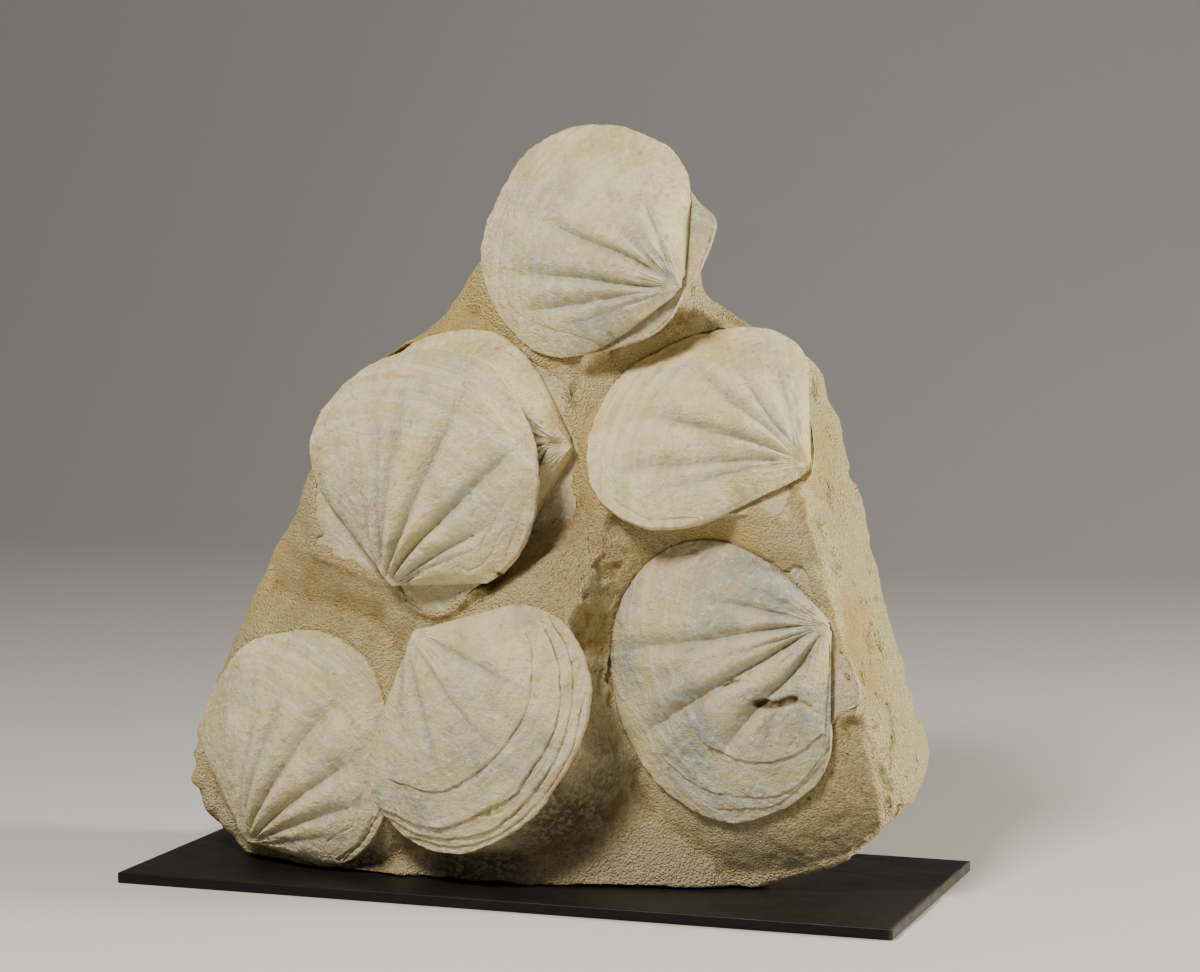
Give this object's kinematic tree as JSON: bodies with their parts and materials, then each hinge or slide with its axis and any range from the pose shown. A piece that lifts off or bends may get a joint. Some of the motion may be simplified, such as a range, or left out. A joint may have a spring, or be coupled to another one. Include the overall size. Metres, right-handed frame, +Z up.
{
  "type": "fossil scallop block",
  "caption": "Block of sandy limestone with large fossil scallop shells standing in relief on its face, on a low black display plate.",
  "frame": {"origin": "middle of the underside of the base plate", "axes": "+X along the plate's long side, to the right when the shells face the viewer; the shells face -Y; +Z up"},
  "size_m": [0.6, 0.25, 0.5718],
  "materials": {
    "black_board": "board painted black, semi-gloss, dusty on top",
    "sandstone": "rough beige-ochre sandy limestone",
    "shell_cream": "matt pale cream fossil shell with fine growth lines",
    "shell_grey": "matt greyish fossil shell, broken at its edges"
  },
  "bodies": {
    "root": {"base_plate": "black_board", "matrix_block": "sandstone", "scallop_top": "shell_cream", "scallop_upper_left": "shell_cream", "scallop_behind": "shell_cream", "scallop_upper_right": "shell_cream", "scallop_lower_right": "shell_cream", "scallop_lower_middle": "shell_cream", "scallop_lower_left": "shell_cream", "scallop_top_lower_valve": "shell_grey", "scallop_upper_left_lower_valve": "shell_grey", "scallop_behind_lower_valve": "shell_grey", "scallop_upper_right_lower_valve": "shell_grey", "scallop_lower_right_lower_valve": "shell_grey"}
  },
  "joints": []
}
